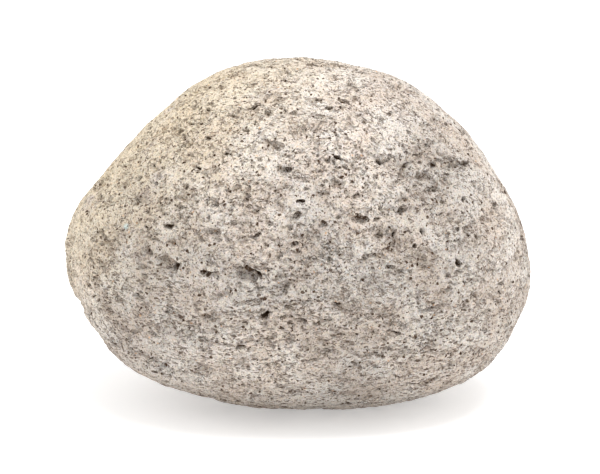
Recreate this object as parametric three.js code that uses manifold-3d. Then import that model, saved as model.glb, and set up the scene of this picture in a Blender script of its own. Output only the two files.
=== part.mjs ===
// A tumbled pumice stone: one solid piece, about as long as a hand is wide.
//
// The stone is a swollen, lopsided pebble. Its front outline is a list of radii, one for each
// hour of a clock face, and it bulges towards the front and the back from that outline.
// Broad hollows and knuckles worn by tumbling are laid over it, and a small flat is cut
// underneath, where the stone has worn down and rests.
//
// Frame: millimetres, +Z up, +X along the stone's length, -Y towards its front.
// Origin: the centre of the bounding box, at the level of the worn flat that it rests on.

import * as THREE from "three";
import { mergeVertices } from "three/addons/utils/BufferGeometryUtils.js";
import Module from "manifold-3d";

// Driving dimensions, in millimetres unless the name says otherwise.

// Radii of the front outline every 30 degrees, anticlockwise from the right-hand side.
const OUTLINE_RADII = [48, 42, 39, 37.5, 38.5, 41, 49.5, 47.5, 40, 36.5, 41, 49.5];
const FRONT_BULGE = 41.5; // from the outline's plane to the front of the stone
const BACK_BULGE = 40; // from the outline's plane to the back of the stone
const BULGE_POWER = 2.15; // 2 is an ellipsoid, more is boxier
const FACE_ROWS = 21; // rows of triangles along each side of the starting icosahedron
const FOOT_WEAR = 1.1; // how far the underside has worn up from its lowest point
const MEAN_RADIUS = 43; // turns an angle at the centre into a distance over the surface

// Broad hollows (negative height) and knuckles (positive height). Turn is degrees round from
// the front, positive to the right; rise is degrees above the middle; reach is the distance
// over the surface at which the height has fallen to about a third.
const SWELLS = [
  // front
  { turn: -40, rise: -3, reach: 8, height: -1.0 },
  { turn: -17, rise: -4, reach: 6, height: -0.7 },
  { turn: 5, rise: -3, reach: 9, height: -0.9 },
  { turn: 29, rise: -4, reach: 8, height: -0.9 },
  { turn: 38, rise: 26, reach: 8, height: -0.9 },
  { turn: -2, rise: 14, reach: 7, height: -0.4 },
  { turn: -23, rise: 32, reach: 12, height: 0.6 },
  { turn: 17, rise: 38, reach: 7, height: 0.5 },
  { turn: -6, rise: -32, reach: 13, height: 0.5 },
  { turn: 20, rise: -50, reach: 9, height: -0.6 },
  // right-hand end
  { turn: 68, rise: 6, reach: 9, height: 0.5 },
  { turn: 90, rise: -12, reach: 7, height: 1.3 },
  { turn: 92, rise: 16, reach: 8, height: -0.8 },
  // back
  { turn: 128, rise: 14, reach: 10, height: 0.8 },
  { turn: 142, rise: -18, reach: 9, height: -1.0 },
  { turn: 168, rise: 22, reach: 11, height: -1.1 },
  { turn: 186, rise: -12, reach: 12, height: 0.9 },
  { turn: 212, rise: 8, reach: 9, height: -0.9 },
  { turn: 232, rise: -24, reach: 11, height: 0.6 },
  // left-hand end
  { turn: -90, rise: -9, reach: 7, height: 0.9 },
  { turn: -92, rise: 16, reach: 8, height: -0.8 },
  { turn: -90, rise: -44, reach: 7, height: -0.6 },
  { turn: -66, rise: -14, reach: 7, height: -0.5 },
  // crown
  { turn: 20, rise: 68, reach: 9, height: -0.5 },
  { turn: 140, rise: 58, reach: 12, height: -0.7 },
  { turn: 236, rise: 60, reach: 10, height: 0.6 },
  // underside, round the worn flat
  { turn: -60, rise: -52, reach: 9, height: -0.6 },
  { turn: 118, rise: -56, reach: 9, height: -0.6 },
  { turn: 205, rise: -50, reach: 9, height: -0.6 },
];

const wasm = await Module();
wasm.setup();

const swells = SWELLS.map(({ turn, rise, reach, height }) => {
  const a = THREE.MathUtils.degToRad(turn);
  const e = THREE.MathUtils.degToRad(rise);
  const towards = new THREE.Vector3(
    Math.sin(a) * Math.cos(e),
    -Math.cos(a) * Math.cos(e),
    Math.sin(e),
  );
  return { towards, reach, height };
});

// The front outline's radius at an angle, on a smooth closed curve through OUTLINE_RADII.
function outlineRadius(angle) {
  const count = OUTLINE_RADII.length;
  const at = ((angle / (2 * Math.PI)) * count + count) % count;
  const hour = Math.floor(at);
  const t = at - hour;
  const [before, start, end, after] = [-1, 0, 1, 2].map(
    (step) => OUTLINE_RADII[(hour + step + count) % count],
  );
  const leaving = (end - before) / 2;
  const arriving = (after - start) / 2;
  const turn = start - end;
  return (
    start + t * (leaving + t * (-3 * turn - 2 * leaving - arriving + t * (2 * turn + leaving + arriving)))
  );
}

// The distance from the stone's centre to its surface in a direction of length 1.
function surfaceRadius(direction) {
  const { x, y, z } = direction;
  const across = Math.hypot(x, z) / outlineRadius(Math.atan2(z, x));
  const through = Math.abs(y) / (y < 0 ? FRONT_BULGE : BACK_BULGE);
  let radius = (across ** BULGE_POWER + through ** BULGE_POWER) ** (-1 / BULGE_POWER);
  for (const { towards, reach, height } of swells) {
    const away = MEAN_RADIUS * towards.angleTo(direction);
    radius += height * Math.exp(-((away / reach) ** 2));
  }
  return radius;
}

// The whole pebble before its flat is cut, centred on the middle of its front outline.
function pebbleGeometry() {
  const geometry = new THREE.IcosahedronGeometry(1, FACE_ROWS - 1);
  const position = geometry.getAttribute("position");
  const point = new THREE.Vector3();
  for (let i = 0; i < position.count; i++) {
    point.fromBufferAttribute(position, i).normalize();
    point.multiplyScalar(surfaceRadius(point));
    position.setXYZ(i, point.x, point.y, point.z);
  }
  return geometry;
}

function toSolid(geometry) {
  const bare = geometry.clone();
  bare.deleteAttribute("normal");
  bare.deleteAttribute("uv");
  const merged = mergeVertices(bare, 1e-4);
  return new wasm.Manifold(
    new wasm.Mesh({
      numProp: 3,
      vertProperties: merged.attributes.position.array,
      triVerts: new Uint32Array(merged.index.array),
    }),
  );
}

function toGeometry(solid) {
  const { vertProperties, triVerts } = solid.getMesh();
  return new THREE.BufferGeometry()
    .setAttribute("position", new THREE.BufferAttribute(vertProperties, 3))
    .setIndex(new THREE.BufferAttribute(triVerts, 1));
}

// Everything below the level to which the underside has worn.
function wornAwayGeometry(pebble) {
  pebble.computeBoundingBox();
  const size = pebble.boundingBox.getSize(new THREE.Vector3());
  const level = pebble.boundingBox.min.z + FOOT_WEAR;
  return new THREE.BoxGeometry(2 * size.x, 2 * size.y, size.z).translate(0, 0, level - size.z / 2);
}

function stoneGeometry() {
  const pebble = pebbleGeometry();
  const stone = toGeometry(toSolid(pebble).subtract(toSolid(wornAwayGeometry(pebble))));
  stone.computeBoundingBox();
  const middle = stone.boundingBox.getCenter(new THREE.Vector3());
  return stone.translate(-middle.x, -middle.y, -stone.boundingBox.min.z);
}

const pumice = new THREE.MeshStandardMaterial({
  name: "pumice",
  color: new THREE.Color().setRGB(0.76, 0.71, 0.65, THREE.SRGBColorSpace),
  roughness: 0.95,
  metalness: 0,
});

const stone = new THREE.Mesh(stoneGeometry(), pumice);
stone.name = "pumice_stone";

const group = new THREE.Group();
group.add(stone);

export default group;
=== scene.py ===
"""A tumbled pumice stone: one pale, open-pored pebble resting on a studio floor.

The stone starts as a fine ball laid on the CAD solid's skin. Swells, open pores and grit are
then pressed into it, it is thinned, and it gets a rock finish. Lengths are in metres unless a
name says mm. The frame is the CAD's: +Z up, +X along the stone, -Y towards its front.
"""
import math

import bmesh
import bpy
import numpy as np
from bpy.props import (
    FloatProperty,
    FloatVectorProperty,
    IntProperty,
    PointerProperty,
)
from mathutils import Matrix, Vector, kdtree, noise
from mathutils.bvhtree import BVHTree


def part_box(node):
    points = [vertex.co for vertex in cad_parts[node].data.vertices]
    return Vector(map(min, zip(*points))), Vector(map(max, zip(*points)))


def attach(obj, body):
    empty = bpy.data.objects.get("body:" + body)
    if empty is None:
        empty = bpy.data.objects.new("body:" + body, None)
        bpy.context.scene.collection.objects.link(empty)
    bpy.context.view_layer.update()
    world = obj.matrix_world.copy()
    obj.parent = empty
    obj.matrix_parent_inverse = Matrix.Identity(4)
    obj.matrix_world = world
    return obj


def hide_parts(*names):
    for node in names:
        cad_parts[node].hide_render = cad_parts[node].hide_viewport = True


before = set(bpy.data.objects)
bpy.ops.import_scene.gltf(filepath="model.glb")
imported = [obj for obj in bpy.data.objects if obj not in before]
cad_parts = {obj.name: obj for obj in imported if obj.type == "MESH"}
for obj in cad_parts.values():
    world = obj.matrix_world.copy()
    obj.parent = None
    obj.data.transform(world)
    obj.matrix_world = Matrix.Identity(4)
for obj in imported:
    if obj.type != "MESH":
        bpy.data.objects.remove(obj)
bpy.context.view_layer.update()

bl_info = {
    "name": "Pumice stone",
    "version": (1, 0, 0),
    "blender": (4, 5, 0),
    "location": "3D View > Sidebar > Pumice",
    "description": "Builds a tumbled pumice stone with open pores, and a plain stage for it",
    "category": "Add Mesh",
}

CAD_NODE = "pumice_stone"
BODY = "root"
STONE = "pumice_pebble"
FLOOR = "studio_floor"
MM = 0.001
UP = Vector((0.0, 0.0, 1.0))
WELD = 0.01 * MM  # corners of the CAD skin closer than this are one
SKIN_ROUNDING = 2  # subdivisions that round off the CAD skin's facets
RIM_ANGLE = 60  # degrees at which an edge of the finished stone looks sharp
FLOOR_DROP = 0.05 * MM  # from the stone's foot to the floor, so that they don't flicker
AIM = Vector((0.43, 0.0, -1.65)) * MM  # from the stone's middle to what the camera looks at
NEARLY_UPRIGHT = 0.35  # sine of the angle between a direction and straight up or down

# Values carried on the stone's points: dust with painted shade in the pores, painted shadow under
# their rims, and broad patches of painted shade and painted light.
PORE_DUST_AND_SHADE = "pore_dust_and_shade"
PORE_SHADOW = "pore_shadow"
PATCH_TONE = "patch"

FLECK_PLACE = (-34.1, -28.5, 43.2)  # in millimetres, on the front at the left

FLECK_FADE = (0.55, 0.95)  # millimetres from its middle over which the blue grain fades
FLECK_SHARE = 0.6

# Patterns in the rock. Frequencies are features in a millimetre.
FLATTENED = ((0.88, 0.88, 1.08), 0.0)  # scales, and the dip of the layers in degrees
DRAWN_OUT = ((0.48, 0.48, 1.08), 3.0)
LAYERS_FADE = (30.0, 56.0)  # heights in millimetres over which the layers fade out
LAYERS_DRIFT = 22.0  # how far these heights wander up, in millimetres
OPENNESS = 0.022  # how far worn and open parts of the skin differ in their froth

# Froth: ragged hollows between worn-flat crests. Reach is how far the rims throw their shadow
# in millimetres; rim and floor are the values of the noise where a hollow starts and ends.
HOLLOWS = dict(frequency=0.55, reach=0.40, rim=0.44, floor=0.36, detail=4.0, swirl=0.8)
NOOKS = dict(
    frequency=1.15, reach=0.24, rim=0.42, floor=0.355, detail=4.0, roughness=0.62, swirl=0.6,
)
LONG_NOOKS = dict(
    frequency=1.2, reach=0.22, rim=0.42, floor=0.355, detail=4.0, roughness=0.62,
)
CRUMBS = dict(
    frequency=2.5, reach=0.14, rim=0.42, floor=0.35, detail=3.0, roughness=0.65, swirl=0.5,
)
LONG_CRUMBS = dict(
    frequency=2.6, reach=0.14, rim=0.42, floor=0.35, detail=3.0, roughness=0.65,
)

# Pinholes: radius, softness of the edge and fraying are parts of their spacing.
FINE_HOLES = dict(Frequency=0.95, Radius=0.31, Edge=0.03, Fray=0.6)
FINER_HOLES = dict(Frequency=1.9, Radius=0.34, Edge=0.05, Fray=0.6)
SLITS = dict(Frequency=1.3, Radius=0.36, Edge=0.03, Fray=0.5)
RUST_SPECKS = dict(Frequency=0.55, Radius=0.13, Edge=0.02, Fray=0.3)

# Colour: where each thing fades in, and how strong it is.
STAIN_FADE = (36.0, 72.0)  # millimetres up and to the left
STAIN_SHARE = 0.85
PATCH_TONES = (0.74, 1.20)  # brightness of a patch of tone -1 and of one of tone 1
GRIT_TONES = (0.85, 1.13)
FOOT_DARKENING_FADE = (1.0, 9.0)  # heights in millimetres over which the rock grows darker towards its foot
PORE_DUST_AND_SHADE_FADE = (0.15, 0.80)
PORE_SHADOW_FADE = (0.27, 0.80)

# The grain's cast drifts between two colours, so many times in a millimetre.
TINTS = (
    (1.7, ((0.97, 1.0, 1.06), (1.05, 1.0, 0.92))),
    (2.3, ((1.035, 0.98, 1.0), (0.965, 1.015, 0.99))),
)

# Noise is read this far along for each further seed, so that no two fields line up.
SEED_STEP = 17.3

# Waves over the skin: the share of each, its length in millimetres and its seed.
SWELL_WAVES = ((1.0, 14.0, 3),)
KNOBBLE_WAVES = ((1.0, 5.0, 4),)
CREASE_WAVES = ((1.0, 2.6, 9),)
GRIT_WAVES = ((1.0, 1.4, 5), (0.6, 0.7, 6))
FRAYING = ((0.45, 0.8, 7), (0.35, 1.7, 8))
# Raggedness of the pores: the reach of each drift and its length in millimetres, and its seed.
RAGGED = ((0.28, 0.9, 1), (0.60, 2.8, 2))
FRAY_GROWTH = 1.4  # fraying per millimetre of a pore's half-width, up to 1

# How dust, painted shade and painted shadow lie in a pore. Parts of its half-width unless the
# comment says otherwise.
FLOOR_SLIDE = 0.6  # the most that a floor slides under its rim
DUST_AND_SHADE_MIDDLE = 0.62  # part of the dust and painted shade that lies in the middle
PAINTED_SHADE_TILT = 0.38  # how much more painted shade lies under the upper rim than in the middle
SHADOW_START = 0.35  # how far from the middle the rim's shadow starts
SHADOW_SOFTNESS = 0.4  # over how much it deepens
SHADOW_INSET = 4.0  # how fast it deepens in from the rim
SHADOW_GROWTH = 0.6  # its strength in a pore as deep as it is half-wide, and at most 1

# Open pores on the front that are too wide to leave to chance. Turn is degrees round from the
# front, positive to the right; rise is degrees above the middle. Length, width and depth are
# in millimetres. Tilt turns the long axis, positive with its right-hand end up. Lean is where
# the floor slides to under the rim, as (right, up) parts of the depth.
FRONT_PORES = (
    # turn, rise, length, width, depth, tilt, lean
    (-14, -1, 4.8, 2.5, 2.0, -30, (0.30, 0.35)),
    (-12, 0, 3.6, 1.3, 2.6, -38, (0.40, 0.45)),
    (-36, 1, 5.6, 3.2, 1.4, -15, (0.25, 0.3)),
    (-34, 0, 3.2, 1.3, 2.0, -55, (0.5, 0.25)),
    (35, 27, 3.6, 1.9, 1.0, 42, (0.1, 0.4)),
    (41, 23, 4.4, 2.4, 1.0, -20, (0.1, 0.35)),
    (43, 20, 2.6, 1.2, 0.6, -35, (0.2, 0.4)),
    (50, 22, 2.2, 1.8, 1.1, 10, (0.0, 0.6)),
    (31, 23, 3.0, 1.2, 0.6, 0, (0.0, 0.4)),
    (46, 26, 1.9, 1.6, 1.1, -40, (0.3, 0.4)),
    (60, 24, 1.8, 1.5, 0.8, -45, (0.2, 0.4)),
    (51, 15, 1.5, 1.1, 1.4, 25, (-0.1, 0.8)),
    (30, 15, 2.6, 2.2, 0.9, 60, (-0.2, 0.4)),
    (17, 14, 3.2, 1.9, 1.2, -12, (0.2, 0.7)),
    (22, 13, 2.4, 1.0, 0.7, 8, (0.1, 0.5)),
    (26, 9, 1.6, 0.6, 1.4, 24, (0.1, 0.9)),
    (35, 9, 1.4, 1.1, 1.6, 10, (-0.4, -0.2)),
    (30, 9, 1.4, 0.9, 0.8, 0, (0.0, 0.5)),
    (32, 6, 0.9, 0.9, 1.2, -30, (0.1, 0.5)),
    (24, 5, 2.1, 0.9, 0.8, -12, (0.2, 0.5)),
    (44, 0, 1.8, 1.5, 1.9, -40, (0.5, 0.8)),
    (44, -2, 1.5, 1.2, 0.9, 0, (0.0, 0.5)),
    (20, 4, 2.8, 1.1, 0.9, 8, (0.0, 0.8)),
    (17, 2, 4.2, 1.5, 0.7, 20, (0.0, 0.6)),
    (25, 1, 2.2, 1.0, 0.8, -15, (0.0, 0.5)),
    (27, -1, 2.6, 1.6, 0.8, 30, (0.0, 0.4)),
    (7, 13, 1.9, 1.5, 1.1, -40, (0.1, 0.5)),
    (-3, 28, 1.9, 1.6, 1.2, 40, (0.0, 0.5)),
    (-7, 35, 3.0, 2.2, 0.8, 0, (0.0, 0.4)),
    (-1, 15, 2.6, 1.6, 0.9, 30, (0.3, 0.5)),
    (1, 19, 1.6, 1.0, 1.0, -15, (0.4, 0.7)),
    (-11, 10, 1.8, 0.9, 1.0, 15, (0.0, 0.5)),
    (-1, 8, 1.7, 1.1, 1.0, -30, (0.0, 0.5)),
    (-24, 18, 2.6, 1.9, 1.0, -15, (0.5, 0.2)),
    (-23, 10, 3.4, 2.2, 0.8, 10, (0.3, 0.4)),
    (-27, 8, 1.6, 2.0, 1.1, 0, (0.6, 0.5)),
    (-55, 21, 2.4, 1.4, 1.3, -80, (0.3, -0.2)),
    (-46, 21, 1.4, 1.0, 1.0, 20, (0.2, 0.3)),
    (-51, 15, 2.0, 1.5, 0.9, 70, (0.4, 0.3)),
    (-64, 10, 2.0, 0.9, 1.1, 80, (0.5, 0.2)),
    (-33, 36, 2.0, 1.0, 1.0, 10, (0.0, 0.5)),
    (-32, 27, 1.8, 0.8, 1.0, -25, (0.0, 0.4)),
    (-24, 32, 1.5, 1.1, 0.9, 0, (0.2, 0.4)),
    (-19, 50, 1.8, 1.0, 0.8, 5, (0.0, 0.3)),
    (-28, 45, 1.8, 1.1, 0.8, 10, (0.2, 0.3)),
    (-47, 41, 1.9, 1.0, 0.8, 20, (0.2, 0.4)),
    (10, 53, 1.8, 0.9, 0.9, 0, (0.1, 0.4)),
    (14, 49, 2.0, 1.3, 0.9, 15, (0.1, 0.4)),
    (23, 52, 3.2, 1.6, 1.0, 0, (0.1, 0.4)),
    (41, 45, 1.7, 1.2, 1.1, 20, (-0.2, 0.3)),
    (13, 31, 1.9, 0.7, 1.3, -40, (0.2, 0.6)),
    (27, 35, 3.0, 1.5, 0.6, -70, (0.1, 0.4)),
    (26, 29, 1.6, 1.2, 0.8, 0, (0.2, 0.4)),
    (11, 23, 3.2, 2.2, 0.8, -10, (0.3, 0.3)),
    (17, 20, 2.4, 1.6, 0.7, 0, (0.0, 0.5)),
    (-42, 3, 2.6, 1.8, 1.3, -25, (0.3, 0.5)),
    (-37, 10, 2.4, 1.0, 1.0, -25, (0.0, 0.4)),
    (-25, -1, 2.8, 1.4, 1.2, 10, (0.1, 0.7)),
    (-56, -2, 2.0, 1.7, 1.0, -40, (0.3, 0.3)),
    (-51, -10, 2.8, 1.8, 1.4, -20, (0.1, 0.6)),
    (-45, -9, 2.6, 1.2, 1.2, -20, (0.2, 0.6)),
    (-68, -16, 2.6, 1.2, 1.1, -65, (0.3, 0.3)),
    (-51, -21, 1.9, 1.4, 1.1, -40, (0.2, 0.6)),
    (-31, -18, 2.4, 1.6, 0.9, -35, (0.4, 0.4)),
    (-24, -13, 2.8, 1.6, 0.9, -30, (0.4, 0.5)),
    (-9, -12, 1.4, 1.2, 1.8, 0, (0.1, 0.8)),
    (-9, -14, 1.9, 1.2, 0.9, 0, (0.0, 0.5)),
    (-15, -14, 2.2, 1.3, 0.7, 10, (0.1, 0.5)),
    (-16, -21, 2.2, 0.7, 1.4, 0, (0.0, 0.9)),
    (1, -14, 2.6, 1.2, 1.0, 0, (0.0, 0.8)),
    (3, -8, 2.8, 1.3, 0.8, 15, (0.0, 0.5)),
    (11, -9, 2.0, 1.1, 0.9, 15, (0.0, 0.5)),
    (27, -17, 3.0, 0.7, 1.3, -8, (0.0, 0.9)),
    (17, -28, 1.8, 0.7, 1.4, 0, (0.0, 0.9)),
    (30, -39, 3.2, 1.3, 1.2, -5, (0.0, 0.9)),
    (46, -28, 1.9, 0.6, 1.2, 20, (0.0, 0.8)),
    (43, -23, 2.6, 1.1, 0.9, 10, (0.0, 0.5)),
    (31, -23, 2.2, 1.6, 0.8, 30, (0.0, 0.4)),
    (37, -11, 5.0, 1.1, 0.9, 15, (0.0, 0.6)),
    (-13, -41, 4.6, 2.0, 0.8, -10, (0.0, 0.6)),
    (-68, -20, 3.0, 1.2, 1.1, -60, (0.2, 0.4)),
    (-62, -25, 3.6, 1.1, 1.1, -40, (0.1, 0.5)),
    (-53, -22, 2.6, 1.6, 1.6, -40, (0.1, 0.6)),
    (-53, -26, 2.2, 1.4, 1.6, -40, (0.1, 0.6)),
    (-50, -27, 2.6, 1.5, 1.6, -30, (0.1, 0.6)),
    (-47, -29, 3.2, 1.5, 1.8, -25, (0.1, 0.6)),
    (-43, -31, 3.4, 1.5, 1.8, -20, (0.1, 0.6)),
    (-38, -32, 2.4, 1.6, 1.6, -10, (0.1, 0.6)),
    (-32, -30, 3.0, 1.5, 1.6, 10, (0.0, 0.6)),
    (-28, -31, 3.4, 1.4, 1.6, -10, (0.0, 0.6)),
    (23, -46, 4.6, 1.1, 0.8, 0, (0.0, 0.6)),
)

# Broad patches on the front of painted shade (tone below 0) and painted light (tone above 0).
# Reach is the distance in millimetres at which a patch has faded to about a third.
PATCHES = (
    # turn, rise, reach, tone
    (39, 23, 8, -0.9),
    (55, 20, 8, -0.7),
    (46, 34, 7, -0.6),
    (33, 30, 6, 0.2),
    (20, 38, 8, 0.45),
    (17, 14, 6, 0.5),
    (6, 13, 6, -0.7),
    (-17, 24, 6, 0.45),
    (-26, 32, 10, -0.05),
    (-3, 50, 7, -0.2),
    (-10, 60, 7, 0.3),
    (30, 58, 8, 0.35),
    (-16, 7, 6, 0.6),
    (-6, 5, 5, 0.4),
    (-27, 5, 6, -0.5),
    (-42, 0, 9, -0.5),
    (-52, 16, 10, -0.6),
    (-66, -4, 8, 0.4),
    (-76, -8, 9, 0.8),
    (-48, -18, 10, -0.6),
    (-36, -12, 7, -0.1),
    (-14, -6, 7, -0.6),
    (5, 0, 8, -0.5),
    (26, -1, 8, -0.6),
    (46, 2, 8, -0.65),
    (68, 10, 7, 0.3),
    (62, -6, 10, 0.3),
    (36, -14, 7, -0.35),
    (-10, -24, 10, 0.45),
    (16, -29, 8, -0.7),
    (20, -42, 9, -0.7),
)


# ---------------------------------------------------------------- settings


class StoneShape(bpy.types.PropertyGroup):
    """Sizes that shape the stone."""

    ball_levels: IntProperty(
        name="Ball levels",
        description="How finely the stone is worked before it is thinned",
        default=9, min=5, max=9,
    )
    triangles: IntProperty(
        name="Triangles",
        description="How many triangles the finished stone keeps",
        default=198000, min=10000, max=199000,
    )
    swell: FloatProperty(
        name="Swell",
        description="Height of the broad, soft swells left by tumbling",
        default=0.35 * MM, min=0.0, max=2 * MM, subtype="DISTANCE", unit="LENGTH",
    )
    knobble: FloatProperty(
        name="Knobble",
        description="Height of the knobbly waves between the pores",
        default=0.24 * MM, min=0.0, max=MM, subtype="DISTANCE", unit="LENGTH",
    )
    grit: FloatProperty(
        name="Grit",
        description="Height of the grit on the whole skin",
        default=0.11 * MM, min=0.0, max=MM, subtype="DISTANCE", unit="LENGTH",
    )
    pore_seed: IntProperty(
        name="Pore seed",
        description="Picks another scatter of pores",
        default=11, min=0,
    )


class StoneFinish(bpy.types.PropertyGroup):
    """Colours of the stone."""

    pale: FloatVectorProperty(
        name="Pale rock", description="The lightest, cleanest rock",
        default=(0.545, 0.504, 0.460), min=0.0, max=1.0, subtype="COLOR",
    )
    warm: FloatVectorProperty(
        name="Warm rock", description="Rock with a beige cast",
        default=(0.463, 0.403, 0.351), min=0.0, max=1.0, subtype="COLOR",
    )
    # Dust and painted shade in the pores and hollows; it also darkens the rock towards its foot.
    dust_and_shade_colour: FloatVectorProperty(
        name="Pore dust", description="Dust, and painted shade, in the pores and hollows",
        default=(0.200, 0.113, 0.056), min=0.0, max=1.0, subtype="COLOR",
    )
    # Painted shade inside the pinholes, and painted shadow under the rims of pores and hollows.
    hole_and_rim_shade: FloatVectorProperty(
        name="Pinhole", description="Painted shade inside the finest pores and under pore rims",
        default=(0.055, 0.025, 0.009), min=0.0, max=1.0, subtype="COLOR",
    )
    stain: FloatVectorProperty(
        name="Stain", description="The yellowish stain on the left-hand end",
        default=(0.555, 0.470, 0.332), min=0.0, max=1.0, subtype="COLOR",
    )
    rust: FloatVectorProperty(
        name="Rust speck", description="Rusty grains",
        default=(0.50, 0.25, 0.10), min=0.0, max=1.0, subtype="COLOR",
    )
    fleck: FloatVectorProperty(
        name="Blue fleck", description="One pale blue grain on the front",
        default=(0.44, 0.56, 0.55), min=0.0, max=1.0, subtype="COLOR",
    )


class Stage(bpy.types.PropertyGroup):
    """The floor, the lights and the camera."""

    floor_size: FloatProperty(
        name="Floor size", description="Length of the square floor's side",
        default=8.0, min=1.0, subtype="DISTANCE", unit="LENGTH",
    )
    floor_colour: FloatVectorProperty(
        name="Floor colour", description="Colour of the matt floor",
        default=(0.86, 0.86, 0.86), min=0.0, max=1.0, subtype="COLOR",
    )
    surround: FloatProperty(
        name="Surround", description="Brightness of the white studio all round",
        default=0.90, min=0.0,
    )
    floor_glow: FloatProperty(
        name="Floor glow", description="How much light the floor gives off, like a light table",
        default=0.36, min=0.0,
    )
    key_power: FloatProperty(
        name="Key light", description="Power of the soft light overhead",
        default=5.6, min=0.0, subtype="POWER", unit="POWER",
    )
    key_size: FloatProperty(
        name="Key light size", description="Side of the square light overhead",
        default=0.36, min=0.01, subtype="DISTANCE", unit="LENGTH",
    )
    fill_power: FloatProperty(
        name="Fill lights", description="Power of the soft light at each side",
        default=1.2, min=0.0, subtype="POWER", unit="POWER",
    )
    fill_size: FloatProperty(
        name="Fill light size", description="Side of the square light at each side",
        default=0.45, min=0.01, subtype="DISTANCE", unit="LENGTH",
    )
    rise: FloatProperty(
        name="Camera rise", description="How far the camera looks down",
        default=math.radians(12.0), subtype="ANGLE", unit="ROTATION",
    )
    distance: FloatProperty(
        name="Camera distance", description="From the camera to the point that it looks at",
        default=357.8 * MM, min=0.05, subtype="DISTANCE", unit="LENGTH",
    )
    lens: FloatProperty(
        name="Lens", description="Focal length on a 36 mm sensor",
        default=100.0, min=10.0, unit="CAMERA",
    )


# ---------------------------------------------------------------- working the stone


def smooth_skin(node):
    """The CAD solid's skin with its facets rounded off, ready for rays."""
    shell = bmesh.new()
    shell.from_mesh(node.data)
    bmesh.ops.remove_doubles(shell, verts=shell.verts, dist=WELD)
    mesh = bpy.data.meshes.new("skin")
    shell.to_mesh(mesh)
    shell.free()
    skin = bpy.data.objects.new("skin", mesh)
    bpy.context.scene.collection.objects.link(skin)
    rounding = skin.modifiers.new("Rounding", "SUBSURF")
    rounding.levels = rounding.render_levels = SKIN_ROUNDING
    bpy.context.view_layer.update()
    tree = BVHTree.FromObject(skin, bpy.context.evaluated_depsgraph_get())
    bpy.data.objects.remove(skin)
    bpy.data.meshes.remove(mesh)
    return tree


def read_points(mesh):
    flat = np.empty(3 * len(mesh.vertices))
    mesh.vertices.foreach_get("co", flat)
    return flat.reshape(-1, 3)


def write_points(mesh, points):
    mesh.vertices.foreach_set("co", points.ravel())
    mesh.update()


def outward(mesh):
    flat = np.empty(3 * len(mesh.vertices))
    mesh.vertices.foreach_get("normal", flat)
    return flat.reshape(-1, 3)


def fine_ball(levels, skin, middle):
    """A ball of even triangles, with every point drawn out to the skin."""
    ball = bmesh.new()
    bmesh.ops.create_icosphere(ball, subdivisions=levels, radius=1.0)
    mesh = bpy.data.meshes.new(STONE)
    ball.to_mesh(mesh)
    ball.free()
    aim = read_points(mesh)
    reach = np.array([skin.ray_cast(middle, way)[3] for way in aim.tolist()])
    write_points(mesh, np.array(middle) + aim * reach[:, None])
    return mesh


def waves(points, length, seed):
    """Smooth waves from about -1 to 1, with crests about a length apart."""
    shifted = points / length + SEED_STEP * seed
    return np.array([noise.noise(point) for point in shifted.tolist()])


def layered_waves(points, layers):
    """The sum of several waves."""
    return sum(share * waves(points, length * MM, seed) for share, length, seed in layers)


def drift(points, length, seed):
    """Smooth sideways drift with parts from about -1 to 1."""
    shifted = points / length + SEED_STEP * seed
    return np.array([noise.noise_vector(point) for point in shifted.tolist()])


def search_tree(points):
    """A tree that finds the points near a place."""
    tree = kdtree.KDTree(len(points))
    for row, point in enumerate(points.tolist()):
        tree.insert(point, row)
    tree.balance()
    return tree


def level_axis(out):
    """The level direction along the skin, or +X where the skin faces nearly up or down."""
    axis = UP.cross(out)
    if axis.length < NEARLY_UPRIGHT:
        axis = Vector((1.0, 0.0, 0.0)) - out * out.x
    return axis.normalized()


def distance_along(offsets, axis):
    """How far each offset reaches along an axis, summed the same way in every run."""
    return (offsets * np.array(axis)).sum(axis=1)


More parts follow.
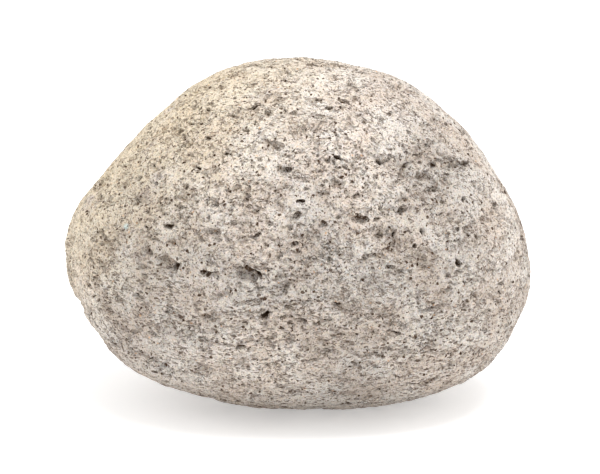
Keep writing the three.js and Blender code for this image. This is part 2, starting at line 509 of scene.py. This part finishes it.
class Pores:
    """Pores pressed into a skin: how deep each point sinks, and where it slides."""

    def __init__(self, points, normals, middle, skin):
        self.points = points
        self.normals = normals
        self.middle = Vector(middle)
        self.skin = skin
        count = len(points)
        self.depth = np.zeros(count)
        self.slide = np.zeros((count, 3))
        self.dust_and_shade = np.zeros(count)
        self.shadow = np.zeros(count)
        self.ragged = points.copy()
        for reach, length, seed in RAGGED:
            self.ragged += reach * MM * drift(points, length * MM, seed)
        self.fray = layered_waves(points, FRAYING)
        self.tree = search_tree(self.ragged)

    def aim(self, turn, rise):
        """The place and outward direction on the skin at an angle from the middle."""
        a, e = math.radians(turn), math.radians(rise)
        way = Vector((math.sin(a) * math.cos(e), -math.cos(a) * math.cos(e), math.sin(e)))
        place, out, _, _ = self.skin.ray_cast(self.middle, way)
        return place, out

    def press(self, place, out, tilt, half_length, half_width, depth, lean, edge, weight,
              fray=1.0):
        """Presses one pore, unless what its family has pressed there already is deeper."""
        level = level_axis(out)
        rising = out.cross(level)
        along = level * math.cos(tilt) + rising * math.sin(tilt)
        across = out.cross(along)
        found = self.tree.find_range(place, 1.25 * half_length)
        if not found:
            return
        rows = np.array([row for _, row, _ in found])
        offset = self.ragged[rows] - np.array(place)
        lengthways = distance_along(offset, along) / half_length
        sideways = distance_along(offset, across) / half_width
        inside = 1.0 - lengthways ** 2 - sideways ** 2
        inside += fray * self.fray[rows] * min(1.0, FRAY_GROWTH * half_width / MM)
        inside = np.minimum(inside, 1.0)
        slide = level * lean[0] + rising * lean[1]
        hidden = (lengthways * slide.dot(along) + sideways * slide.dot(across)) / slide.length
        sunk = depth * np.maximum(inside, 0.0) ** edge
        deeper = (inside > 0.0) & (sunk > self.depth[rows])
        rows, sunk, inside, hidden = rows[deeper], sunk[deeper], inside[deeper], hidden[deeper]
        self.depth[rows] = sunk
        reach = min(1.0, FLOOR_SLIDE * half_width / (depth * slide.length))
        self.slide[rows] = reach * sunk[:, None] * np.array(slide)
        # Dust on the pore's floor, with painted shade heavier towards the upper rim.
        dust_and_shade = weight * inside ** 0.5 * (DUST_AND_SHADE_MIDDLE + PAINTED_SHADE_TILT * hidden)
        self.dust_and_shade[rows] = np.maximum(self.dust_and_shade[rows], dust_and_shade)
        # Painted shadow under the upper rim, strongest where the floor slides out of sight.
        seen = hidden + slide.length * sunk / half_width
        shadow = np.clip((seen - SHADOW_START) / SHADOW_SOFTNESS, 0.0, 1.0)
        shadow *= np.minimum(SHADOW_INSET * inside, 1.0)
        shadow *= min(SHADOW_GROWTH * depth / half_width, 1.0) * weight
        self.shadow[rows] = np.maximum(self.shadow[rows], shadow)

    def settle(self):
        """Takes what is pressed so far as the skin for the next family of pores."""
        self.points += self.slide - self.normals * self.depth[:, None]
        self.depth[:] = 0.0
        self.slide[:] = 0.0


def press_front_pores(pores):
    """Presses the placed pores; the deeper one is, the more dust, painted shade and painted shadow
    it holds.
    """
    for turn, rise, length, width, depth, tilt, lean in FRONT_PORES:
        place, out = pores.aim(turn, rise)
        pores.press(
            place, out, math.radians(tilt), length * MM / 2, width * MM / 2, depth * MM,
            lean, edge=0.5, weight=min(0.6 + 0.25 * depth, 1.0), fray=0.8,
        )


# Families of scattered pores: how many, half-width in millimetres, depth over half-width,
# how softly the edge rolls in, how much dust, painted shade and painted shadow they hold, and
# whether they keep off the front, where the wide ones are placed.
DENTS = (460, (1.0, 2.8), (0.20, 0.50), (0.8, 1.5), 0.55, False)
WIDE_PORES = (50, (1.0, 2.0), (0.6, 1.1), (0.5, 1.0), 0.85, True)
MIDDLING_PORES = (240, (0.7, 1.2), (0.6, 1.2), (0.5, 1.0), 0.8, True)
MODEST_PORES = (560, (0.5, 0.95), (0.5, 1.2), (0.5, 1.0), 0.95, False)
SMALL_PORES = (2600, (0.28, 0.6), (0.8, 1.6), (0.5, 0.9), 0.55, False)
FINE_PORES = (8000, (0.19, 0.32), (0.9, 1.7), (0.5, 0.9), 0.5, False)

# How scattered pores lie. Low on the stone they are drawn out level, like its layers: the
# first value holds high up, and the second is how much that changes lower down.
LAYERS_DEPTH = 20  # millimetres of height over which it changes
STRETCH = (0.8, 1.6)  # the most that a pore is longer than wide, as a part of its width
TILT_SPREAD = (50.0, -35.0)  # degrees
LEANS = ((0.1, 0.3), (0.25, 0.3))  # middle and spread of the lean to the right and up
CROWDS = ((7, 1.0), (3, 0.4))  # length in millimetres and share of the waves of crowding
CROWD_DRAW = (-0.7, 0.25)  # a pore stays where these waves are above a draw from this range
FRONT_FACING = -0.35  # the skin is the front where its outward Y is below this


def scatter_pores(pores, dice, family):
    """Presses a family; low on the stone pores are drawn out level, like its layers."""
    count, widths, depths, edges, dust_and_shade, off_front = family
    left = count
    while left:
        row = int(dice.integers(len(pores.points)))
        place, out = Vector(pores.points[row]), Vector(pores.normals[row])
        half_width = MM * (widths[0] + (widths[1] - widths[0]) * dice.random() ** 2)
        low = min(max((pores.middle.z - place.z) / (LAYERS_DEPTH * MM) + 0.5, 0.0), 1.0)
        stretch = 1.0 + dice.random() * (STRETCH[0] + STRETCH[1] * low)
        tilt = math.radians(dice.normal(0.0, TILT_SPREAD[0] + TILT_SPREAD[1] * low))
        lean = [dice.normal(middle, spread) for middle, spread in LEANS]
        crowding = sum(share * noise.noise(place / (length * MM)) for length, share in CROWDS)
        if off_front and out.y < FRONT_FACING or crowding < dice.uniform(*CROWD_DRAW):
            continue
        pores.press(
            place, out, tilt, half_width * stretch, half_width,
            half_width * dice.uniform(*depths), lean, dice.uniform(*edges),
            dust_and_shade * dice.uniform(0.5, 1.0),
        )
        left -= 1


def patch_tones(pores):
    """The painted shade (below 0) and painted light (above 0) at each point."""
    tone = np.zeros(len(pores.points))
    for turn, rise, reach, strength in PATCHES:
        place, _ = pores.aim(turn, rise)
        away = np.linalg.norm(pores.ragged - np.array(place), axis=1)
        tone += strength * np.exp(-((away / (reach * MM)) ** 2))
    return tone


def thinned(stone, triangles):
    """Thins the stone to about that many triangles, keeping the rims of its pores."""
    thinning = stone.modifiers.new("Thinning", "DECIMATE")
    thinning.ratio = triangles / len(stone.data.polygons)
    thinning.use_collapse_triangulate = True
    worked = stone.data
    stone.data = bpy.data.meshes.new_from_object(
        stone.evaluated_get(bpy.context.evaluated_depsgraph_get())
    )
    stone.modifiers.clear()
    bpy.data.meshes.remove(worked)
    stone.data.name = STONE


def carry_values(mesh, worked, values):
    """Gives each point of the thinned stone the values of the nearest worked point."""
    tree = search_tree(worked)
    nearest = [tree.find(vertex.co)[1] for vertex in mesh.vertices]
    for name, value in values.items():
        mesh.attributes.new(name, "FLOAT", "POINT").data.foreach_set("value", value[nearest])


# ---------------------------------------------------------------- finishes


def put(tree, kind, sockets=(), **settings):
    """Adds a node; a socket given another node's socket is linked to it, or else is set."""
    node = tree.nodes.new(kind)
    for name, value in settings.items():
        setattr(node, name, value)
    for name, value in dict(sockets).items():
        if isinstance(value, bpy.types.NodeSocket):
            tree.links.new(value, node.inputs[name])
        else:
            node.inputs[name].default_value = value
    return node


def calculate(tree, operation, first, second, **settings):
    return put(
        tree, "ShaderNodeMath", {0: first, 1: second}, operation=operation, **settings
    ).outputs[0]


def calculate_vector(tree, operation, sockets):
    return put(tree, "ShaderNodeVectorMath", sockets, operation=operation).outputs


def sum_of(tree, *sockets):
    """The sum of several values."""
    total = sockets[0]
    for socket in sockets[1:]:
        total = calculate(tree, "ADD", total, socket)
    return total


def product(tree, first, second):
    return calculate(tree, "MULTIPLY", first, second)


def ramp(tree, value, low, high, start=0.0, end=1.0):
    """A smooth step from start to end as the value goes from low to high."""
    return put(
        tree, "ShaderNodeMapRange",
        {"Value": value, "From Min": low, "From Max": high, "To Min": start, "To Max": end},
        interpolation_type="SMOOTHSTEP",
    ).outputs["Result"]


def blend(tree, factor, first, second, mode="MIX"):
    """Two colours mixed. A Mix node has its colours at sockets 6 and 7, and gives them at 2."""
    return put(
        tree, "ShaderNodeMix", {0: factor, 6: first, 7: second}, data_type="RGBA",
        blend_type=mode,
    ).outputs[2]


def covered(tree, colour, over, layers):
    """A colour under several layers of another one, each a mask and its share."""
    clear = 1.0
    for mask, share in layers:
        clear = product(tree, calculate(tree, "SUBTRACT", 1.0, product(tree, mask, share)), clear)
    return blend(tree, clear, over, colour)


def opaque(colour):
    return (*colour, 1.0)


def group(name, inputs, outputs):
    """A new shader node group, with its inside ends."""
    tree = bpy.data.node_groups.new(name, "ShaderNodeTree")
    for label, kind, default in inputs:
        socket = tree.interface.new_socket(label, in_out="INPUT", socket_type=kind)
        if default is not None:
            socket.default_value = default
    for label, kind in outputs:
        tree.interface.new_socket(label, in_out="OUTPUT", socket_type=kind)
    return tree, tree.nodes.new("NodeGroupInput").outputs, tree.nodes.new("NodeGroupOutput").inputs


def use(tree, inner, vector, **inputs):
    """Places a node group in a tree, reading from a vector."""
    return put(
        tree, "ShaderNodeGroup", {"Vector": vector, **inputs}, node_tree=inner
    ).outputs


def wander_group():
    """Shakes a pattern's coordinates, so that its shapes come out ragged."""
    tree, given, result = group(
        "Wander",
        (("Vector", "NodeSocketVector", None), ("Frequency", "NodeSocketFloat", 1.0),
         ("Amount", "NodeSocketFloat", 0.2)),
        (("Vector", "NodeSocketVector"),),
    )
    cloud = put(tree, "ShaderNodeTexNoise", {
        "Vector": given["Vector"], "Scale": given["Frequency"], "Detail": 2.0, "Roughness": 0.6,
    }).outputs["Color"]
    centred = calculate_vector(tree, "SUBTRACT", {0: cloud, 1: (0.5, 0.5, 0.5)})[0]
    scaled = calculate_vector(tree, "SCALE", {0: centred, "Scale": given["Amount"]})[0]
    moved = calculate_vector(tree, "ADD", {0: given["Vector"], 1: scaled})[0]
    tree.links.new(moved, result["Vector"])
    return tree


def pinhole_group():
    """Bubbles scattered through the rock, where the skin cuts them open."""
    tree, given, result = group(
        "Pinholes",
        (("Vector", "NodeSocketVector", None), ("Frequency", "NodeSocketFloat", 1.0),
         ("Radius", "NodeSocketFloat", 0.3), ("Edge", "NodeSocketFloat", 0.06),
         ("Fray", "NodeSocketFloat", 0.3)),
        (("Mask", "NodeSocketFloat"), ("Sink", "NodeSocketFloat")),
    )
    cells = put(tree, "ShaderNodeTexVoronoi", {
        "Vector": given["Vector"], "Scale": given["Frequency"],
    }).outputs
    crumbs = put(tree, "ShaderNodeTexNoise", {
        "Vector": given["Vector"], "Scale": product(tree, given["Frequency"], 2.1),
        "Detail": 2.0, "Roughness": 0.7,
    }).outputs["Fac"]
    fraying = product(tree, calculate(tree, "SUBTRACT", crumbs, 0.5), given["Fray"])
    away = sum_of(tree, cells["Distance"], fraying)
    odds = put(tree, "ShaderNodeSeparateColor", {"Color": cells["Color"]}).outputs
    own_radius = product(tree, given["Radius"], ramp(tree, odds[0], 0.0, 1.0, 0.3, 1.0))
    inner = calculate(tree, "SUBTRACT", own_radius, given["Edge"])
    outer = calculate(tree, "ADD", own_radius, given["Edge"])
    opening = ramp(tree, away, inner, outer, 1.0, 0.0)
    own_dark = ramp(tree, odds[1], 0.1, 0.8, 0.25, 1.0)
    tree.links.new(product(tree, opening, own_dark), result["Mask"])
    tree.links.new(ramp(tree, away, 0.0, outer, 1.0, 0.0), result["Sink"])
    return tree


class RockPatterns:
    """Patterns in the rock, on Object coordinates in millimetres."""

    def __init__(self, tree):
        self.tree = tree
        place = put(tree, "ShaderNodeTexCoord").outputs["Object"]
        self.mm = calculate_vector(tree, "SCALE", {0: place, "Scale": 1 / MM})[0]
        axes = put(tree, "ShaderNodeSeparateXYZ", {0: self.mm}).outputs
        self.along, self.high = axes["X"], axes["Z"]
        self.flattened, self.drawn_out = (
            put(tree, "ShaderNodeMapping", {
                "Vector": self.mm, "Scale": scale, "Rotation": (0.0, math.radians(dip), 0.0),
            }).outputs[0]
            for scale, dip in (FLATTENED, DRAWN_OUT)
        )
        wander, pinholes = wander_group(), pinhole_group()
        self.ragged = use(tree, wander, self.mm, Frequency=1.4, Amount=0.6)[0]
        ragged_out = use(tree, wander, self.drawn_out, Frequency=1.2, Amount=0.5)[0]
        self.fine = use(tree, pinholes, self.ragged, **FINE_HOLES)
        self.finer = use(tree, pinholes, self.ragged, **FINER_HOLES)
        self.slits = use(tree, pinholes, ragged_out, **SLITS)
        self.rusty = use(tree, pinholes, self.ragged, **RUST_SPECKS)

        # How much the rock is layered here: all of it low down, none of it high up.
        lift = sum_of(tree, self.high, product(tree, self.cloud(0.07), LAYERS_DRIFT))
        self.layered = ramp(tree, lift, *LAYERS_FADE, 1.0, 0.0)
        # Some parts of the skin are worn nearly closed, others are open.
        self.openness = product(
            tree, ramp(tree, self.noise(0.14), 0.35, 0.65, -1.0, 1.0), OPENNESS
        )
        self.hollows, self.under_hollows = self.froth(self.flattened, **HOLLOWS)
        self.nooks, self.under_nooks = self.layered_froth(NOOKS, LONG_NOOKS)
        self.crumbs, self.under_crumbs = self.layered_froth(CRUMBS, LONG_CRUMBS)
        self.grit = self.cloud(3.6, 0.30, 0.70, detail=2.0, roughness=0.7)
        self.crumbling = ramp(tree, self.noise(2.2, roughness=0.7), 0.30, 0.70, 0.4, 1.6)

    def noise(self, frequency, vector=None, detail=3.0, roughness=0.6, swirl=0.0):
        return put(self.tree, "ShaderNodeTexNoise", {
            "Vector": vector or self.mm, "Scale": frequency, "Detail": detail,
            "Roughness": roughness, "Distortion": swirl,
        }).outputs["Fac"]

    def cloud(self, frequency, low=0.35, top=0.65, **shape):
        """Soft patches, from 0 where the noise is low to 1 where it is high."""
        return ramp(self.tree, self.noise(frequency, **shape), low, top)

    def froth(self, vector, frequency, reach, rim, floor, **shape):
        """Ragged hollows, and the shadow under the upper right-hand rim of each of them."""
        higher = calculate_vector(self.tree, "ADD", {0: vector, 1: (0.35 * reach, 0.0, reach)})[0]
        here, above = (
            ramp(self.tree, sum_of(self.tree, self.noise(frequency, where, **shape),
                                   self.openness), rim, floor)
            for where in (vector, higher)
        )
        return here, calculate(self.tree, "SUBTRACT", here, above, use_clamp=True)

    def layered_froth(self, even, drawn_out):
        """Froth that is even high on the stone and drawn out where the rock is layered."""
        return [
            put(self.tree, "ShaderNodeMix", {0: self.layered, 2: high, 3: low},
                data_type="FLOAT").outputs[0]
            for high, low in zip(
                self.froth(self.flattened, **even), self.froth(self.drawn_out, **drawn_out)
            )
        ]

    def pore_mask(self, name, low, high):
        """A mask from a value of the mesh, with an outline that crumbling has broken up."""
        value = put(self.tree, "ShaderNodeAttribute", attribute_name=name).outputs["Fac"]
        return ramp(self.tree, product(self.tree, self.crumbling, value), low, high)


def clean_rock(tree, rock, finish):
    """The rock's colour before dust, painted shade and painted shadow: mottled, stained, gritty,
    and with broad patches of painted light and shade.
    """
    mottled = blend(tree, rock.cloud(0.11, 0.38, 0.62, detail=4.0), opaque(finish.warm),
                    opaque(finish.pale))
    upper_left = sum_of(tree, product(tree, rock.along, -0.7), product(tree, rock.high, 0.7))
    stain = product(tree, ramp(tree, upper_left, *STAIN_FADE), rock.cloud(0.12, 0.20, 0.50))
    colour = blend(tree, product(tree, stain, STAIN_SHARE), mottled, opaque(finish.stain))
    # Broad patches of painted shade and painted light.
    patch = put(tree, "ShaderNodeAttribute", attribute_name=PATCH_TONE).outputs["Fac"]
    darkened, lightened = PATCH_TONES
    tone = put(tree, "ShaderNodeMapRange", {
        "Value": patch, "From Min": -1.0, "From Max": 1.0, "To Min": darkened, "To Max": lightened,
    }).outputs["Result"]
    colour = blend(tree, 1.0, colour, tone, mode="MULTIPLY")
    for frequency, (first, second) in TINTS:
        tint = blend(tree, rock.cloud(frequency, 0.30, 0.70, detail=3.0, roughness=0.7),
                     opaque(first), opaque(second))
        colour = blend(tree, 1.0, colour, tint, mode="MULTIPLY")
    return blend(tree, 1.0, colour, ramp(tree, rock.grit, 0.0, 1.0, *GRIT_TONES),
                 mode="MULTIPLY")


def rock_colour(tree, rock, finish):
    """The rock with dust and painted shade in its hollows, painted shadow under its rims, flecks,
    and pinholes painted dark with shade.
    """
    # Darker towards the foot.
    foot = ramp(tree, rock.high, *FOOT_DARKENING_FADE, 1.0, 0.0)
    pore_dust_and_shade = rock.pore_mask(PORE_DUST_AND_SHADE, *PORE_DUST_AND_SHADE_FADE)
    pore_shadow = rock.pore_mask(PORE_SHADOW, *PORE_SHADOW_FADE)
    # Dust and painted shade on the floors of the hollows and pores, and the darker foot.
    darkened = covered(tree, clean_rock(tree, rock, finish), opaque(finish.dust_and_shade_colour), (
        (foot, 0.07), (rock.hollows, 0.13), (rock.nooks, 0.20), (rock.crumbs, 0.26),
        (pore_dust_and_shade, 0.42),
    ))
    rusted = blend(tree, product(tree, rock.rusty["Mask"], 0.6), darkened, opaque(finish.rust))
    # Painted shadow under the upper rims of the hollows and pores.
    shaded = covered(tree, rusted, opaque(finish.hole_and_rim_shade), (
        (rock.under_hollows, 0.40), (rock.under_nooks, 0.55), (rock.under_crumbs, 0.50),
        (pore_shadow, 0.92),
    ))
    from_fleck = calculate_vector(tree, "DISTANCE", {0: rock.ragged, 1: FLECK_PLACE})["Value"]
    fleck = ramp(tree, from_fleck, *FLECK_FADE, FLECK_SHARE, 0.0)
    flecked = blend(tree, fleck, shaded, opaque(finish.fleck))
    # Pinholes, painted dark with the shade inside them.
    round_holes = calculate(
        tree, "MAXIMUM", product(tree, rock.fine["Mask"], 0.95),
        product(tree, rock.finer["Mask"], 0.8),
    )
    long_holes = product(tree, product(tree, rock.slits["Mask"], rock.layered), 0.75)
    holes = calculate(tree, "MAXIMUM", round_holes, long_holes)
    return blend(tree, holes, flecked, opaque(finish.hole_and_rim_shade))


def rock_height(tree, rock):
    """The fine relief in millimetres, for the bump."""
    return sum_of(
        tree,
        product(tree, rock.hollows, -0.28),
        product(tree, rock.nooks, -0.26),
        product(tree, rock.crumbs, -0.13),
        product(tree, rock.grit, 0.10),
        product(tree, rock.fine["Sink"], -0.25),
        product(tree, rock.finer["Sink"], -0.10),
        product(tree, product(tree, rock.slits["Sink"], rock.layered), -0.20),
    )


def pumice_finish(finish):
    """Pale rock: mottled, gritty and full of pinholes, with dust and painted shade in its pores
    and painted shadow under their rims.
    """
    material = bpy.data.materials.new("pumice_rock")
    material.use_nodes = True
    tree = material.node_tree
    tree.nodes.clear()
    rock = RockPatterns(tree)
    bump = put(tree, "ShaderNodeBump", {
        "Height": rock_height(tree, rock), "Distance": MM, "Strength": 1.0,
    })
    surface = put(tree, "ShaderNodeBsdfPrincipled", {
        "Base Color": rock_colour(tree, rock, finish), "Normal": bump.outputs[0],
        "Roughness": 0.95, "Specular IOR Level": 0.25,
    })
    put(tree, "ShaderNodeOutputMaterial", {"Surface": surface.outputs[0]})
    return material


def floor_finish(colour, glow):
    material = bpy.data.materials.new("studio_paper")
    material.use_nodes = True
    shader = material.node_tree.nodes["Principled BSDF"]
    shader.inputs["Base Color"].default_value = opaque(colour)
    shader.inputs["Roughness"].default_value = 1.0
    shader.inputs["Specular IOR Level"].default_value = 0.0
    shader.inputs["Emission Color"].default_value = (1.0, 1.0, 1.0, 1.0)
    shader.inputs["Emission Strength"].default_value = glow
    return material


# ---------------------------------------------------------------- operators


class PUMICE_OT_carve_stone(bpy.types.Operator):
    """Carve the pumice stone out of its CAD solid and give it its finish"""

    bl_idname = "pumice.carve_stone"
    bl_label = "Carve Stone"

    def execute(self, context):
        shape, finish = context.scene.pumice_shape, context.scene.pumice_finish
        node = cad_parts.get(CAD_NODE)
        if node is None:
            raise RuntimeError("the frame has no node " + CAD_NODE)
        low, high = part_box(CAD_NODE)
        middle = (Vector(low) + Vector(high)) / 2
        levels = shape.ball_levels - 0
        skin = smooth_skin(node)
        mesh = fine_ball(levels, skin, middle)
        points = read_points(mesh)
        normals = outward(mesh)
        creases = np.abs(layered_waves(points, CREASE_WAVES))
        swell = shape.swell * layered_waves(points, SWELL_WAVES)
        swell += shape.knobble * (layered_waves(points, KNOBBLE_WAVES) - creases)
        points += normals * swell[:, None]

        noise.seed_set(1 + shape.pore_seed)  # seeds the drift; 0 would seed it by the clock
        pores = Pores(points, normals, middle, skin)
        dice = np.random.default_rng(shape.pore_seed)
        scatter_pores(pores, dice, DENTS)
        pores.settle()
        press_front_pores(pores)
        scatter_pores(pores, dice, WIDE_PORES)
        scatter_pores(pores, dice, MIDDLING_PORES)
        pores.settle()
        for family in (MODEST_PORES, SMALL_PORES, FINE_PORES):
            scatter_pores(pores, dice, family)
            pores.settle()
        worked = pores.points
        grit = shape.grit * layered_waves(worked, GRIT_WAVES)
        worked += normals * grit[:, None]
        worked[:, 2] = np.maximum(worked[:, 2], 0.0)
        write_points(mesh, worked)

        stone = bpy.data.objects.new(STONE, mesh)
        context.scene.collection.objects.link(stone)
        context.view_layer.update()
        thinned(stone, shape.triangles)
        carry_values(stone.data, worked, {
            PORE_DUST_AND_SHADE: pores.dust_and_shade, PORE_SHADOW: pores.shadow, PATCH_TONE: patch_tones(pores),
        })
        stone.data.shade_smooth()
        stone.data.set_sharp_from_angle(angle=math.radians(RIM_ANGLE))

        stone.data.materials.append(pumice_finish(finish))
        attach(stone, BODY)
        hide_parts(CAD_NODE)
        return {"FINISHED"}


class PUMICE_OT_set_stage(bpy.types.Operator):
    """Set the floor, the soft studio light and the camera"""

    bl_idname = "pumice.set_stage"
    bl_label = "Set Stage"

    def execute(self, context):
        scene, stage = context.scene, context.scene.pumice_stage
        paper = bmesh.new()
        bmesh.ops.create_grid(paper, x_segments=1, y_segments=1, size=stage.floor_size / 2)
        bmesh.ops.translate(paper, verts=paper.verts, vec=-FLOOR_DROP * UP)
        mesh = bpy.data.meshes.new(FLOOR)
        paper.to_mesh(mesh)
        paper.free()
        mesh.materials.append(floor_finish(stage.floor_colour, stage.floor_glow))
        floor = bpy.data.objects.new(FLOOR, mesh)
        scene.collection.objects.link(floor)

        world = bpy.data.worlds.new("white_studio")
        world.use_nodes = True
        sky = world.node_tree.nodes["Background"]
        sky.inputs["Color"].default_value = (1.0, 1.0, 1.0, 1.0)
        seen = put(world.node_tree, "ShaderNodeLightPath").outputs["Is Camera Ray"]
        world.node_tree.links.new(
            ramp(world.node_tree, seen, 0.0, 1.0, stage.surround, 1.0), sky.inputs["Strength"]
        )
        scene.world = world
        scene.view_settings.view_transform = "Standard"
        scene.view_settings.look = "None"

        low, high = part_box(CAD_NODE)
        middle = (Vector(low) + Vector(high)) / 2
        for name, power, size, offset in (
            ("key_light", stage.key_power, stage.key_size, (0.08, -0.12, 0.62)),
            ("left_fill", stage.fill_power, stage.fill_size, (-0.62, -0.05, 0.22)),
            ("right_fill", stage.fill_power, stage.fill_size, (0.62, -0.05, 0.26)),
        ):
            self.add_light(scene, name, power, size, middle + Vector(offset), middle)
        aim = middle + AIM
        lens = bpy.data.cameras.new("camera")
        lens.lens = stage.lens
        lens.clip_start, lens.clip_end = 0.01, 20.0
        camera = bpy.data.objects.new("camera", lens)
        back = Vector((0.0, -math.cos(stage.rise), math.sin(stage.rise)))
        camera.location = aim + back * stage.distance
        camera.rotation_euler = back.to_track_quat("Z", "Y").to_euler()
        scene.collection.objects.link(camera)
        scene.camera = camera
        return {"FINISHED"}

    @staticmethod
    def add_light(scene, name, power, size, place, target):
        """A square, soft light that faces the target."""
        light = bpy.data.lights.new(name, "AREA")
        light.energy, light.size = power, size
        lamp = bpy.data.objects.new(name, light)
        lamp.location = place
        lamp.rotation_euler = (place - target).to_track_quat("Z", "Y").to_euler()
        scene.collection.objects.link(lamp)


class PUMICE_PT_panel(bpy.types.Panel):
    bl_label = "Pumice Stone"
    bl_idname = "PUMICE_PT_panel"
    bl_space_type = "VIEW_3D"
    bl_region_type = "UI"
    bl_category = "Pumice"

    def draw(self, context):
        layout, scene = self.layout, context.scene
        for settings, button in (
            (scene.pumice_shape, "pumice.carve_stone"),
            (scene.pumice_finish, None),
            (scene.pumice_stage, "pumice.set_stage"),
        ):
            for name in settings.__annotations__:
                layout.prop(settings, name)
            if button:
                layout.operator(button)


CLASSES = (
    StoneShape, StoneFinish, Stage, PUMICE_OT_carve_stone, PUMICE_OT_set_stage, PUMICE_PT_panel,
)


def register():
    for each in CLASSES:
        bpy.utils.register_class(each)
    bpy.types.Scene.pumice_shape = PointerProperty(type=StoneShape)
    bpy.types.Scene.pumice_finish = PointerProperty(type=StoneFinish)
    bpy.types.Scene.pumice_stage = PointerProperty(type=Stage)


def unregister():
    del bpy.types.Scene.pumice_stage
    del bpy.types.Scene.pumice_finish
    del bpy.types.Scene.pumice_shape
    for each in reversed(CLASSES):
        bpy.utils.unregister_class(each)


def main():
    register()
    bpy.ops.pumice.carve_stone()
    bpy.ops.pumice.set_stage()


if __name__ == "__main__":
    main()
